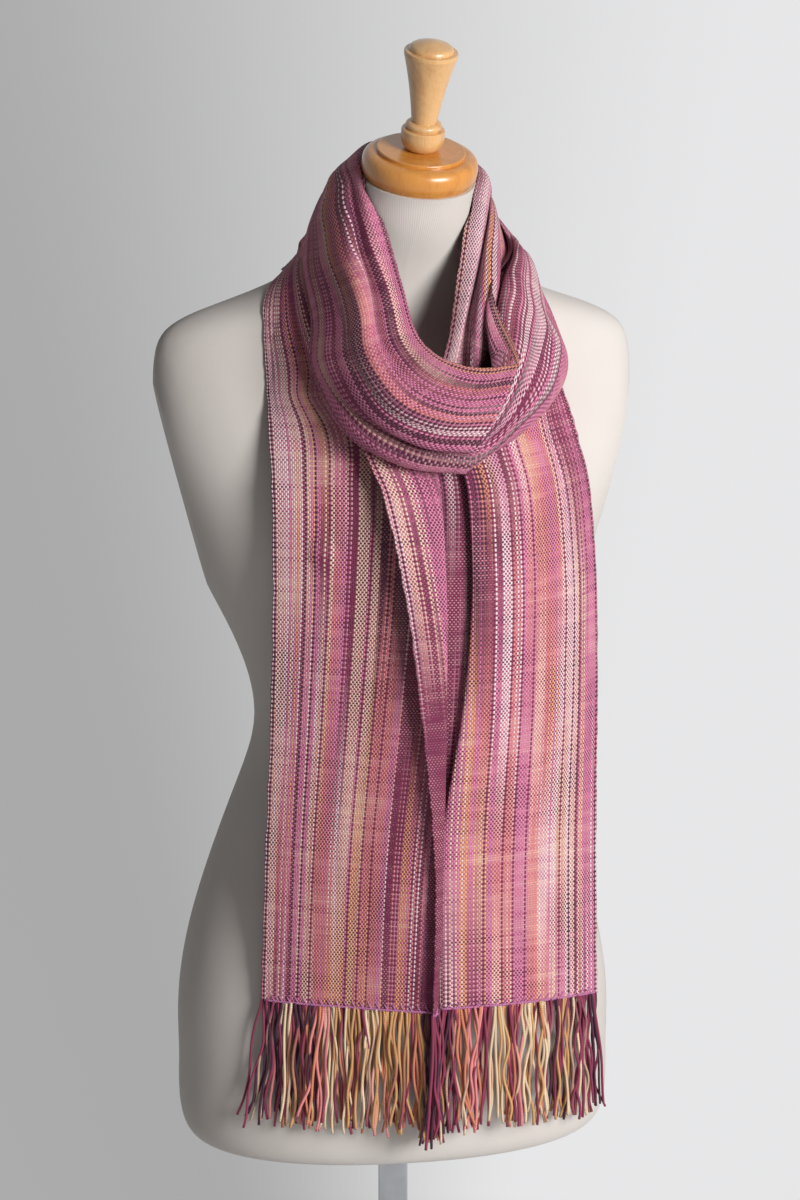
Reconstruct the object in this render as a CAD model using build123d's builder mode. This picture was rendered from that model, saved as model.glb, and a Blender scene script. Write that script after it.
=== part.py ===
"""Display dress form on a telescopic pole, wearing a handwoven fringed scarf.

Millimetres. The origin is on the floor at the centre of the base plate, +Z is up and
the front of the torso faces -Y. Heights in the torso's own tables are counted from
the underside of the torso, which stands at `form_height` above the floor.
"""
import os
from math import cos, exp, hypot, pi, radians, sin, tan

from build123d import *

os.makedirs("parts", exist_ok=True)

# ---------------------------------------------------------------- driving dimensions
form_height = 720.0          # underside of the torso above the floor

# stand
plate_diameter = 370.0
plate_thickness = 9.0
plate_edge_radius = 3.0
foot_ring_width = 18.0
foot_ring_thickness = 3.0
foot_ring_inset = 6.0
outer_tube_diameter = 32.0
outer_tube_wall = 1.5
outer_tube_top = 596.0
inner_tube_diameter = 25.4
inner_tube_wall = 1.5
inner_tube_bottom = 252.0
running_clearance = 0.05     # radial, where one turned piece runs in another
seat_clearance = 0.1         # radial, where a piece is only dropped into its seat

hub_diameter = 66.0
hub_neck_diameter = 40.0
hub_height = 36.0
hub_floor = 8.0
bolt_diameter = 10.0
bolt_head_diameter = 20.0
bolt_head_height = 5.5
bolt_length = 42.0
pole_plug_height = 26.0

bushing_length = 44.0
bushing_flange = 2.0
collar_diameter = 46.0
collar_grip = 32.0           # length of collar that grips the outer tube
collar_cap = 5.0
collar_edge_radius = 2.0
screw_diameter = 8.0
boss_diameter = 18.0
boss_reach = 32.0            # collar axis to the end of the screw boss
knob_diameter = 36.0
knob_thickness = 15.0
knob_lobes = 6
knob_lobe_radius = 5.0
knob_gap = 3.0               # free thread between boss and knob

glide_height = 14.0
glide_spigot = 18.0
top_plug_spigot = 16.0
top_plug_height = 5.0

# torso
torso_wall = 4.5
cover_gap = 0.3
cover_thickness = 1.0
armhole_lean = 13.8          # degrees from upright
armhole_half_width = 172.0   # half-distance between the armhole faces...
armhole_height = 557.0       # ...at this height
armhole_low = 380.0          # the faces run out of the torso's side above this height...
armhole_high = 690.0         # ...and below this one
neck_tilt = 15.0             # forward, degrees
neck_lean = 3.0              # to the right, degrees
bust_spread = 72.0           # middle plane to the point of the bust
bust_radius = 36.0
outline_points = 32

# underside and socket
board_thickness = 15.0
flange_diameter = 92.0
flange_thickness = 3.0
socket_depth = 132.0
socket_wall = 2.0
socket_end = 4.0
wood_screw_diameter = 4.0
wood_screw_length = 14.0
wood_screw_circle = 70.0
wood_screw_count = 4

# neck cap and finial
block_height = 24.0
block_taper = 14.0           # degrees
block_play = 1.0             # radial, where the block fills the mouth of the neck
cap_diameter = 92.0
cap_bottom_diameter = 85.0
cap_body_height = 21.0
cap_disc_diameter = 70.0
cap_disc_height = 3.0
stud_diameter = 8.0
stud_length = 62.0
stud_in_finial = 20.0
dowel_diameter = 6.0
dowel_length = 20.0
dowel_spacing = 44.0
finial_bulb_diameter = 34.5
finial_ring_diameter = 27.3
finial_waist_diameter = 19.5
finial_rim_diameter = 42.3
finial_dome_diameter = 35.0
finial_height = 89.5

# scarf
cloth = 3.0                  # thickness of one hanging layer with its weave and loft
hem_height = 148.0           # hems above the underside of the torso
fringe_drop = 105.0
cowl_tilt = 41.0             # degrees down to the front
cowl_forward = 54.0          # middle of the cowl's lower loop
cowl_height = 701.0
cowl_rise = 46.0             # between the cowl's lower and upper loops
cowl_wall = 5.0

# Torso outline by level: height, half width, front depth, back depth, how far the
# middle stands before the pole, squareness (2 is an ellipse) and fullness of the bust.
torso_levels = [
    (0.0, 168.0, 98.0, 110.0, 0.0, 2.2, 0.0),
    (7.0, 176.0, 106.0, 118.0, 0.0, 2.2, 0.0),
    (20.0, 180.0, 110.0, 122.0, 0.0, 2.2, 0.0),
    (60.0, 181.0, 114.0, 125.0, 0.0, 2.2, 0.0),
    (110.0, 181.0, 113.0, 125.0, 0.0, 2.2, 0.0),
    (165.0, 174.0, 110.0, 118.0, 0.0, 2.2, 0.0),
    (215.0, 161.0, 106.0, 106.0, 0.0, 2.15, 0.0),
    (260.0, 146.0, 102.0, 94.0, 0.0, 2.1, 0.0),
    (305.0, 129.0, 98.0, 86.0, 0.0, 2.1, 0.0),
    (355.0, 114.5, 94.0, 82.0, 0.0, 2.1, 0.0),
    (405.0, 121.0, 97.0, 86.0, 0.0, 2.1, 0.0),
    (450.0, 139.5, 102.0, 94.0, 0.0, 2.1, 4.0),
    (490.0, 158.5, 106.0, 100.0, 0.0, 2.1, 15.0),
    (525.0, 171.0, 106.0, 104.0, 0.0, 2.15, 24.0),
    (565.0, 184.0, 99.0, 107.0, 0.0, 2.2, 15.0),
    (610.0, 192.5, 84.0, 106.0, 0.0, 2.3, 4.0),
    (640.0, 193.5, 70.0, 98.0, 0.0, 2.3, 0.0),
    (665.0, 192.0, 58.0, 86.0, 0.0, 2.1, 0.0),
    (685.0, 183.0, 51.0, 72.0, 0.0, 1.95, 0.0),
    (702.0, 151.0, 50.0, 62.0, 1.0, 1.85, 0.0),
    (718.0, 108.0, 49.0, 56.0, 4.0, 1.85, 0.0),
    (735.0, 78.0, 48.0, 50.0, 9.0, 1.9, 0.0),
    (754.0, 59.0, 46.5, 46.5, 17.0, 2.0, 0.0),
    (774.0, 49.5, 45.5, 45.5, 28.0, 2.0, 0.0),
    (793.0, 46.0, 44.5, 44.5, 37.5, 2.0, 0.0),
    (811.0, 44.0, 44.0, 44.0, 46.0, 2.0, 0.0),
]
neck_start = 735.0           # height where the neck begins to tilt and lean
neck_side = 13.0             # how far the leaning neck's top stands to the right

neck_top = torso_levels[-1][0]
neck_forward = torso_levels[-1][4]
neck_radius = torso_levels[-1][1]


# ---------------------------------------------------------------- torso surface
def slant(rows, index, sign, column):
    """Slope of one side of the torso at a level, as the length factor of a skin."""
    low = rows[max(index - 1, 0)]
    high = rows[min(index + 1, len(rows) - 1)]
    change = high[column] - low[column] + sign * (high[4] - low[4])
    return hypot(1.0, change / (high[0] - low[0]))


def neck_share(height):
    """0 below the neck, 1 at its top."""
    return min(max((height - neck_start) / (neck_top - neck_start), 0.0), 1.0)


def level_plane(height, forward):
    """The plane that a torso level lies in."""
    share = neck_share(height)
    tilt = radians(neck_tilt * share)
    lean = radians(neck_lean * share)
    normal = Vector(sin(lean), -sin(tilt) * cos(lean), cos(tilt) * cos(lean))
    across = Vector(cos(lean), 0.0, -sin(lean))
    middle = Vector(neck_side * share**1.5, -forward, form_height + height)
    return Plane(origin=middle, x_dir=across, z_dir=normal)


def level_outline(index, skin):
    """Points of the torso's outline at a level, `skin` outside the moulded surface."""
    height, half_width, front, back, forward, squareness, bust = torso_levels[index]
    half_width += skin * slant(torso_levels, index, 0.0, 1)
    front += skin * slant(torso_levels, index, 1.0, 2)
    back += skin * slant(torso_levels, index, -1.0, 3)
    points = []
    for step in range(outline_points):
        turn = 2.0 * pi * step / outline_points - pi / 2
        across = abs(cos(turn)) ** (2.0 / squareness) * (1 if cos(turn) > 0 else -1)
        along = abs(sin(turn)) ** (2.0 / squareness)
        x = half_width * across
        if sin(turn) < 0.0:
            swell = bust * exp(-(((abs(x) - bust_spread) / bust_radius) ** 2))
            y = -front * along - swell * min(1.0, 2.0 * along)
        else:
            y = back * along
        points.append((x, y))
    return points


def closed_curve(points):
    """A smooth closed curve through evenly timed points, so that all outlines match."""
    return Edge.make_spline(points, periodic=True, parameters=list(range(len(points) + 1)))


def torso_solid(skin, drop=0.0):
    """The torso `skin` outside its moulded surface, reaching `drop` further down."""
    lean = radians(armhole_lean)
    with BuildPart() as torso:
        for index, level in enumerate(torso_levels):
            height = level[0] if index > 0 else -drop
            with BuildSketch(level_plane(height, level[4])):
                with BuildLine():
                    add(closed_curve(level_outline(index, skin)))
                make_face()
        loft()
        for side in (-1, 1):
            face = armhole_half_width + skin / cos(lean)
            low = side * (face - (armhole_height - armhole_low) * tan(lean))
            high = side * (face + (armhole_high - armhole_height) * tan(lean))
            with BuildSketch(Plane.XZ):
                with BuildLine():
                    Polyline(
                        (low, form_height + armhole_low),
                        (high, form_height + armhole_high),
                        (side * 2 * armhole_half_width, form_height + armhole_high),
                        (side * 2 * armhole_half_width, form_height + armhole_low),
                        close=True,
                    )
                make_face()
            extrude(amount=armhole_half_width, both=True, mode=Mode.SUBTRACT)
    return torso.part


moulded = torso_solid(0.0)
hollow = torso_solid(-torso_wall)
cover_inside = torso_solid(cover_gap, drop=cover_gap)
cover_outside = torso_solid(cover_gap + cover_thickness, drop=cover_gap + cover_thickness)

# ---------------------------------------------------------------- torso pieces
with BuildPart() as torso_front_shell:
    add(moulded)
    add(hollow, mode=Mode.SUBTRACT)
    split(bisect_by=Plane.XZ, keep=Keep.TOP)
torso_front_shell.part.label = "torso_front_shell"

with BuildPart() as torso_back_shell:
    add(moulded)
    add(hollow, mode=Mode.SUBTRACT)
    split(bisect_by=Plane.XZ, keep=Keep.BOTTOM)
torso_back_shell.part.label = "torso_back_shell"

with BuildPart() as jersey_cover:
    add(cover_outside)
    add(cover_inside, mode=Mode.SUBTRACT)
    with Locations((0, 0, form_height)):
        Cylinder(flange_diameter / 2 + cover_thickness, 20.0, mode=Mode.SUBTRACT)
jersey_cover.part.label = "jersey_cover"

# ---------------------------------------------------------------- underside and socket
socket_bore = inner_tube_diameter / 2 + running_clearance
socket_radius = socket_bore + socket_wall
socket_top = form_height + socket_depth

with BuildPart() as bottom_board:
    with BuildSketch(Plane.XY.offset(form_height)):
        with BuildLine():
            add(closed_curve(level_outline(0, -torso_wall - cover_gap)))
        make_face()
    extrude(amount=board_thickness)
    with Locations((0, 0, form_height)):
        Cylinder(socket_radius + seat_clearance, 3 * board_thickness, mode=Mode.SUBTRACT)
    with Locations(Plane.XY.offset(form_height)):
        with PolarLocations(wood_screw_circle / 2, wood_screw_count, 45.0):
            Cylinder(
                wood_screw_diameter / 2 + seat_clearance,
                2 * (wood_screw_length - flange_thickness) + 1.0,
                mode=Mode.SUBTRACT,
            )
bottom_board.part.label = "bottom_board"

with BuildPart() as pole_socket:
    with BuildSketch(Plane.XY.offset(form_height - flange_thickness)):
        Circle(flange_diameter / 2)
    extrude(amount=flange_thickness)
    fillet(pole_socket.faces().sort_by(Axis.Z)[0].edges(), 1.0)
    with BuildSketch(Plane.XY.offset(form_height - flange_thickness)):
        Circle(socket_radius)
    extrude(amount=flange_thickness + socket_depth + socket_end)
    with BuildSketch(Plane.XY.offset(form_height - flange_thickness)):
        Circle(socket_bore)
    extrude(amount=flange_thickness + socket_depth, mode=Mode.SUBTRACT)
    with Locations(Plane.XY.offset(form_height - flange_thickness).rotated((180, 0, 0))):
        with PolarLocations(wood_screw_circle / 2, wood_screw_count, 45.0):
            CounterSinkHole(
                wood_screw_diameter / 2 + seat_clearance,
                wood_screw_diameter + seat_clearance,
                depth=2 * flange_thickness,
            )
pole_socket.part.label = "pole_socket"

with BuildPart() as socket_screws:
    with Locations(Plane.XY.offset(form_height - flange_thickness)):
        with PolarLocations(wood_screw_circle / 2, wood_screw_count, 45.0):
            Cylinder(
                wood_screw_diameter / 2,
                wood_screw_length,
                align=(Align.CENTER, Align.CENTER, Align.MIN),
            )
            Cone(
                wood_screw_diameter,
                wood_screw_diameter / 2,
                wood_screw_diameter / 2,
                align=(Align.CENTER, Align.CENTER, Align.MIN),
            )
socket_screws.part.label = "socket_screws"

# ---------------------------------------------------------------- neck cap and finial
neck_plane = level_plane(neck_top, neck_forward)
cap_height = cap_body_height + cap_disc_height
cap_top_plane = neck_plane.offset(cap_height)

with BuildPart() as neck_block:
    with BuildSketch(neck_plane):
        Circle(neck_radius - torso_wall - block_play)
    extrude(amount=-block_height, taper=block_taper)
    with BuildSketch(neck_plane):
        Circle(stud_diameter / 2 + seat_clearance)
    extrude(amount=-(stud_length - cap_height - stud_in_finial) - 1.0, mode=Mode.SUBTRACT)
    with BuildSketch(neck_plane):
        with GridLocations(dowel_spacing, 0, 2, 1):
            Circle(dowel_diameter / 2 + seat_clearance)
    extrude(amount=-dowel_length / 2 - 0.5, mode=Mode.SUBTRACT)
neck_block.part.label = "neck_block"

# Turned profiles are drawn as (radius, height) in the plane that holds the turning axis.
turning_plane = Plane(neck_plane.origin, x_dir=neck_plane.x_dir, z_dir=-neck_plane.y_dir)

with BuildPart() as neck_cap:
    with BuildSketch(turning_plane):
        with BuildLine():
            foot = (cap_bottom_diameter / 2, 0.0)
            waist = (cap_diameter / 2, 0.52 * cap_body_height)
            shoulder = (cap_disc_diameter / 2 + 3.0, cap_body_height)
            rim = (cap_disc_diameter / 2, cap_body_height)
            Line((0, 0), foot)
            Spline(foot, waist, shoulder, tangents=((0.7, 1.0), (-1.0, 0.12)))
            Line(shoulder, rim)
            Line(rim, (cap_disc_diameter / 2, cap_height - 1.0))
            RadiusArc((cap_disc_diameter / 2, cap_height - 1.0),
                      (cap_disc_diameter / 2 - 1.0, cap_height), -1.0)
            Line((cap_disc_diameter / 2 - 1.0, cap_height), (0, cap_height))
            Line((0, cap_height), (0, 0))
        make_face()
    revolve(axis=Axis(neck_plane.origin, neck_plane.z_dir))
    with BuildSketch(neck_plane):
        Circle(stud_diameter / 2 + seat_clearance)
        with GridLocations(dowel_spacing, 0, 2, 1):
            Circle(dowel_diameter / 2 + seat_clearance)
    extrude(amount=dowel_length / 2 + 0.5, mode=Mode.SUBTRACT)
    with BuildSketch(neck_plane):
        Circle(stud_diameter / 2 + seat_clearance)
    extrude(amount=cap_height, mode=Mode.SUBTRACT)
neck_cap.part.label = "neck_cap"

with BuildPart() as cap_dowels:
    with BuildSketch(neck_plane.offset(-dowel_length / 2)):
        with GridLocations(dowel_spacing, 0, 2, 1):
            Circle(dowel_diameter / 2)
    extrude(amount=dowel_length)
cap_dowels.part.label = "cap_dowels"

with BuildPart() as finial_stud:
    with BuildSketch(cap_top_plane.offset(stud_in_finial)):
        Circle(stud_diameter / 2)
    extrude(amount=-stud_length)
    chamfer(finial_stud.edges().filter_by(GeomType.CIRCLE), 0.8)
finial_stud.part.label = "finial_stud"

finial_axis_plane = Plane(
    cap_top_plane.origin, x_dir=turning_plane.x_dir, z_dir=turning_plane.z_dir
)
with BuildPart() as finial:
    with BuildSketch(finial_axis_plane):
        with BuildLine():
            bulb = finial_bulb_diameter / 2
            ring = finial_ring_diameter / 2
            waist = finial_waist_diameter / 2
            rim = finial_rim_diameter / 2
            dome = finial_dome_diameter / 2
            bulb_top = 0.195 * finial_height
            ring_top = 0.262 * finial_height
            rim_low = 0.876 * finial_height
            rim_top = 0.911 * finial_height
            Line((0, 0), (0.62 * bulb, 0))
            Spline((0.62 * bulb, 0), (bulb, 0.115 * finial_height), (bulb, bulb_top - 1.0),
                   tangents=((1.0, 0.35), (0.0, 1.0)))
            Line((bulb, bulb_top - 1.0), (bulb - 1.0, bulb_top))
            Line((bulb - 1.0, bulb_top), (ring, bulb_top))
            Spline((ring, bulb_top), (ring + 0.8, (bulb_top + ring_top) / 2),
                   (waist + 0.4, ring_top), tangents=((0.4, 1.0), (-1.0, 0.1)))
            Spline((waist + 0.4, ring_top), (waist + 2.1, 0.4 * finial_height), (rim, rim_low))
            Line((rim, rim_low), (rim, rim_top - 0.6))
            Line((rim, rim_top - 0.6), (rim - 0.6, rim_top))
            Line((rim - 0.6, rim_top), (dome, rim_top + 0.3))
            Line((dome, rim_top + 0.3), (dome, rim_top + 1.3))
            Spline((dome, rim_top + 1.3), (0.7 * dome, 0.972 * finial_height),
                   (0, finial_height), tangents=((-0.2, 1.0), (-1.0, 0.0)))
            Line((0, finial_height), (0, 0))
        make_face()
    revolve(axis=Axis(cap_top_plane.origin, neck_plane.z_dir))
    with BuildSketch(cap_top_plane):
        Circle(stud_diameter / 2 + seat_clearance)
    extrude(amount=stud_in_finial + 1.0, mode=Mode.SUBTRACT)
finial.part.label = "finial"

# ---------------------------------------------------------------- stand
plate_bottom = foot_ring_thickness
plate_top = plate_bottom + plate_thickness
outer_radius = outer_tube_diameter / 2
outer_bore = outer_radius - outer_tube_wall
inner_radius = inner_tube_diameter / 2
inner_bore = inner_radius - inner_tube_wall
tube_foot = plate_top + hub_floor
inner_tube_top = socket_top - cover_gap - top_plug_height

with BuildPart() as foot_ring:
    with BuildSketch(Plane.XY):
        Circle(plate_diameter / 2 - foot_ring_inset)
        Circle(plate_diameter / 2 - foot_ring_inset - foot_ring_width, mode=Mode.SUBTRACT)
    extrude(amount=foot_ring_thickness)
foot_ring.part.label = "foot_ring"

with BuildPart() as base_plate:
    with BuildSketch(Plane.XY.offset(plate_bottom)):
        Circle(plate_diameter / 2)
    extrude(amount=plate_thickness)
    fillet(base_plate.edges().sort_by(Axis.Z)[-1], plate_edge_radius)
    with Locations(Plane.XY.offset(plate_bottom).rotated((180, 0, 0))):
        CounterSinkHole(bolt_diameter / 2 + seat_clearance, bolt_head_diameter / 2 + 0.5,
                        depth=2 * plate_thickness)
base_plate.part.label = "base_plate"

with BuildPart() as base_hub:
    with BuildSketch(Plane.XZ):
        with BuildLine():
            Polyline(
                (0, plate_top),
                (hub_diameter / 2, plate_top),
                (hub_diameter / 2, plate_top + 4.0),
            )
            Spline(
                (hub_diameter / 2, plate_top + 4.0),
                (hub_neck_diameter / 2 + 3.0, plate_top + 0.4 * hub_height),
                (hub_neck_diameter / 2, plate_top + hub_height),
                tangents=((-1.0, 0.15), (0.0, 1.0)),
            )
            Polyline(
                (hub_neck_diameter / 2, plate_top + hub_height),
                (0, plate_top + hub_height),
                (0, plate_top),
            )
        make_face()
    revolve(axis=Axis.Z)
    with BuildSketch(Plane.XY.offset(tube_foot)):
        Circle(outer_radius + seat_clearance)
    extrude(amount=hub_height, mode=Mode.SUBTRACT)
    with BuildSketch(Plane.XY.offset(plate_top)):
        Circle(bolt_diameter / 2 + seat_clearance)
    extrude(amount=hub_floor, mode=Mode.SUBTRACT)
base_hub.part.label = "base_hub"

with BuildPart() as base_bolt:
    with Locations((0, 0, plate_bottom)):
        Cylinder(bolt_diameter / 2, bolt_length, align=(Align.CENTER, Align.CENTER, Align.MIN))
        Cone(bolt_head_diameter / 2, bolt_diameter / 2, (bolt_head_diameter - bolt_diameter) / 2,
             align=(Align.CENTER, Align.CENTER, Align.MIN))
        Cylinder(3.0, 7.0, mode=Mode.SUBTRACT)
base_bolt.part.label = "base_bolt"

with BuildPart() as pole_plug:
    with BuildSketch(Plane.XY.offset(tube_foot)):
        Circle(outer_bore - running_clearance)
        Circle(bolt_diameter / 2 + seat_clearance, mode=Mode.SUBTRACT)
    extrude(amount=pole_plug_height)
pole_plug.part.label = "pole_plug"

screw_height = outer_tube_top - collar_grip / 2

with BuildPart() as lower_pole:
    with BuildSketch(Plane.XY.offset(tube_foot)):
        Circle(outer_radius)
        Circle(outer_bore, mode=Mode.SUBTRACT)
    extrude(amount=outer_tube_top - tube_foot)
    with BuildSketch(Plane.XZ.offset(0)):
        with Locations((0, screw_height)):
            Circle(screw_diameter / 2 + 0.5)
    extrude(amount=-outer_tube_diameter, mode=Mode.SUBTRACT)
lower_pole.part.label = "lower_pole"

with BuildPart() as pole_bushing:
    with BuildSketch(Plane.XY.offset(outer_tube_top - bushing_length)):
        Circle(outer_bore - running_clearance)
    extrude(amount=bushing_length)
    with BuildSketch(Plane.XY.offset(outer_tube_top)):
        Circle(outer_radius)
    extrude(amount=bushing_flange)
    with BuildSketch(Plane.XY.offset(outer_tube_top - bushing_length)):
        Circle(inner_radius + running_clearance)
    extrude(amount=bushing_length + bushing_flange, mode=Mode.SUBTRACT)
    with BuildSketch(Plane.XZ):
        with Locations((0, screw_height)):
            Circle(screw_diameter / 2 + 0.5)
    extrude(amount=-outer_tube_diameter, mode=Mode.SUBTRACT)
pole_bushing.part.label = "pole_bushing"

collar_bottom = outer_tube_top - collar_grip
collar_top = outer_tube_top + bushing_flange + seat_clearance + collar_cap

with BuildPart() as height_collar:
    with BuildSketch(Plane.XY.offset(collar_bottom)):
        Circle(collar_diameter / 2)
    extrude(amount=collar_top - collar_bottom)
    fillet(height_collar.edges().filter_by(GeomType.CIRCLE), collar_edge_radius)
    with BuildSketch(Plane.XZ):
        with Locations((0, screw_height)):
            Circle(boss_diameter / 2)
    extrude(amount=-boss_reach)
    with BuildSketch(Plane.XY.offset(collar_bottom)):
        Circle(outer_radius + seat_clearance)
    extrude(amount=collar_top - collar_cap - collar_bottom, mode=Mode.SUBTRACT)
    with BuildSketch(Plane.XY.offset(collar_bottom)):
        Circle(inner_radius + 0.5)
    extrude(amount=collar_top - collar_bottom, mode=Mode.SUBTRACT)
    with BuildSketch(Plane.XZ):
        with Locations((0, screw_height)):
            Circle(screw_diameter / 2 + running_clearance)
    extrude(amount=-2 * boss_reach, mode=Mode.SUBTRACT)
height_collar.part.label = "height_collar"

with BuildPart() as collar_knob:
    with BuildSketch(Plane.XZ.offset(-(inner_radius + cover_gap))):
        with Locations((0, screw_height)):
            Circle(screw_diameter / 2)
    extrude(amount=-(boss_reach + knob_gap - inner_radius - cover_gap))
    with BuildSketch(Plane.XZ.offset(-(boss_reach + knob_gap))):
        with Locations((0, screw_height)):
            Circle(knob_diameter / 2)
            with PolarLocations(knob_diameter / 2 + 1.0, knob_lobes):
                Circle(knob_lobe_radius, mode=Mode.SUBTRACT)
    extrude(amount=-knob_thickness)
    fillet(collar_knob.faces().sort_by(Axis.Y)[-1].edges(), 1.5)
collar_knob.part.label = "collar_knob"

with BuildPart() as upper_pole:
    with BuildSketch(Plane.XY.offset(inner_tube_bottom)):
        Circle(inner_radius)
        Circle(inner_bore, mode=Mode.SUBTRACT)
    extrude(amount=inner_tube_top - inner_tube_bottom)
upper_pole.part.label = "upper_pole"

with BuildPart() as pole_glide:
    with BuildSketch(Plane.XY.offset(inner_tube_bottom - glide_height)):
        Circle(outer_bore - running_clearance)
    extrude(amount=glide_height)
    with BuildSketch(Plane.XY.offset(inner_tube_bottom)):
        Circle(inner_bore - running_clearance)
    extrude(amount=glide_spigot)
pole_glide.part.label = "pole_glide"

with BuildPart() as pole_top_plug:
    with BuildSketch(Plane.XY.offset(inner_tube_top - top_plug_spigot)):
        Circle(inner_bore - running_clearance)
    extrude(amount=top_plug_spigot)
    with BuildSketch(Plane.XY.offset(inner_tube_top)):
        Circle(inner_radius - 0.2)
    extrude(amount=top_plug_height)
    fillet(pole_top_plug.faces().sort_by(Axis.Z)[-1].edges(), 2.5)
pole_top_plug.part.label = "pole_top_plug"

# ---------------------------------------------------------------- scarf
# A tail is a ribbon through stations. Each station is a plane across the ribbon, given by
# the distance of its origin in front of the pole, its height above the underside of the
# torso and how far it leans back from level, with the ribbon's outer face as points
# (to the right of the pole, back from the origin in that plane).
left_tail_stations = [
    (140.0, hem_height, 0.0, [(-123, 46), (-62, 12), (14, 0)]),
    (140.0, 350.0, 0.0, [(-118, 46), (-62, 10), (16, 0)]),
    (141.0, 520.0, 0.0, [(-114, 39), (-68, 8), (16, 0)]),
    (128.0, 575.0, 0.0, [(-113, 32), (-66, 9), (14, 0)]),
    (98.0, 620.0, 0.0, [(-112, 22), (-62, 6), (6, 0)]),
    (70.0, 665.0, 0.0, [(-110, 15), (-62, 5), (-14, 0)]),
    (54.0, 702.0, 0.0, [(-107, 12), (-72, 3), (-40, 0)]),
    (52.0, 728.0, 25.0, [(-106, 22), (-76, 10), (-53, 0)]),
    (42.0, 749.0, 50.0, [(-104, 30), (-80, 16), (-62, 3)]),
    (8.0, 766.0, 90.0, [(-103, 38), (-82, 24), (-64, 7)]),
    (-32.0, 754.0, 104.0, [(-94, 30), (-70, 18), (-48, 6)]),
]
right_tail_stations = [
    (140.0, hem_height, 0.0, [(160, 62), (84, 20), (18, 0)]),
    (140.0, 350.0, 0.0, [(157, 62), (84, 14), (22, 0)]),
    (141.0, 520.0, 0.0, [(153, 66), (74, 9), (24, 0)]),
    (128.0, 575.0, 0.0, [(146, 46), (74, 8), (26, 0)]),
    (98.0, 620.0, 0.0, [(133, 28.8), (70, 6), (22, 0)]),
    (72.0, 665.0, 0.0, [(122, 20.5), (70, 6), (26, 0)]),
    (55.0, 702.0, 0.0, [(114, 14), (80, 4), (50, 0)]),
    (52.0, 728.0, 25.0, [(111, 24), (84, 13), (60, 2)]),
    (41.0, 747.2, 50.0, [(108, 32), (86, 20), (70, 8)]),
    (8.0, 764.1, 90.0, [(106, 38), (88, 27), (74, 16)]),
    (-32.0, 755.0, 104.0, [(96, 31), (74, 20), (54, 9)]),
]


def ribbon(stations, thickness):
    """A thin closed ribbon lofted through its stations."""
    with BuildPart() as cloth_ribbon:
        for forward, height, lean, face in stations:
            back = Vector(0, cos(radians(lean)), -sin(radians(lean)))
            plane = Plane(
                origin=(0, -forward, form_height + height),
                x_dir=(1, 0, 0),
                z_dir=Vector(1, 0, 0).cross(back),
            )
            with BuildSketch(plane):
                with BuildLine():
                    outer = Spline(*face)
                    inner = Spline(*[(x, y + thickness) for x, y in face])
                    Line(outer @ 0, inner @ 0)
                    Line(outer @ 1, inner @ 1)
                make_face()
        loft(ruled=True)
    return cloth_ribbon.part


with BuildPart() as scarf_left_tail:
    add(ribbon(left_tail_stations, cloth))
scarf_left_tail.part.label = "scarf_left_tail"

with BuildPart() as scarf_right_tail:
    add(ribbon(right_tail_stations, cloth))
scarf_right_tail.part.label = "scarf_right_tail"


def fringe(stations, thickness):
    """The hanging fringe below a tail's hem, as one closed ribbon."""
    forward, height, lean, face = stations[0]
    low = (forward, height - cover_gap - fringe_drop, lean, face)
    high = (forward, height - cover_gap, lean, face)
    return ribbon([low, high], thickness)


with BuildPart() as left_fringe:
    add(fringe(left_tail_stations, cloth))
left_fringe.part.label = "left_fringe"

with BuildPart() as right_fringe:
    add(fringe(right_tail_stations, cloth))
right_fringe.part.label = "right_fringe"

# The cowl is a thin wall between loops that lie in planes tilted down to the front.
cowl_lower = [
    (26, -145), (80, -121), (114, -62), (120, 8), (109, 78), (64, 118),
    (0, 130), (-59, 118), (-105, 79), (-105, 6), (-76, -62), (-34, -121),
]
cowl_upper = [
    (36, -78), (70, -64), (86, -26), (88, 18), (76, 76), (46, 122),
    (2, 138), (-42, 122), (-66, 70), (-68, 12), (-44, -26), (-6, -62),
]


def cowl_solid(inset):
    """The cowl filled solid, `inset` inside its outer face."""
    with BuildPart() as filled:
        for rise, loop in ((0.0, cowl_lower), (cowl_rise, cowl_upper)):
            plane = Plane(cowl_origin, x_dir=(1, 0, 0), z_dir=cowl_normal).offset(rise)
            with BuildSketch(plane):
                with BuildLine():
                    add(closed_curve([shrink(point, inset) for point in loop]))
                make_face()
        loft()
    return filled.part


def shrink(point, inset):
    """The point moved straight towards the middle of its loop."""
    return tuple(value * (1.0 - inset / hypot(*point)) for value in point)


cowl_normal = Vector(0, -sin(radians(cowl_tilt)), cos(radians(cowl_tilt)))
cowl_origin = Vector(0, -cowl_forward, form_height + cowl_height)

with BuildPart() as scarf_cowl:
    add(cowl_solid(0.0))
    add(cowl_solid(cowl_wall), mode=Mode.SUBTRACT)
scarf_cowl.part.label = "scarf_cowl"

# ---------------------------------------------------------------- export
pieces = [
    scarf_cowl,
    scarf_left_tail,
    scarf_right_tail,
    left_fringe,
    right_fringe,
    finial,
    finial_stud,
    neck_cap,
    cap_dowels,
    neck_block,
    jersey_cover,
    torso_front_shell,
    torso_back_shell,
    bottom_board,
    pole_socket,
    socket_screws,
    pole_top_plug,
    upper_pole,
    pole_glide,
    pole_bushing,
    height_collar,
    collar_knob,
    lower_pole,
    pole_plug,
    base_bolt,
    base_hub,
    base_plate,
    foot_ring,
]
for piece in pieces:
    export_step(piece.part, f"parts/{piece.part.label}.step")
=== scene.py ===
"""Looks of a display dress form that wears a handwoven, fringed scarf."""
import math

import bpy
import numpy as np
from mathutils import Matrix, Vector
from mathutils.bvhtree import BVHTree


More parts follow.
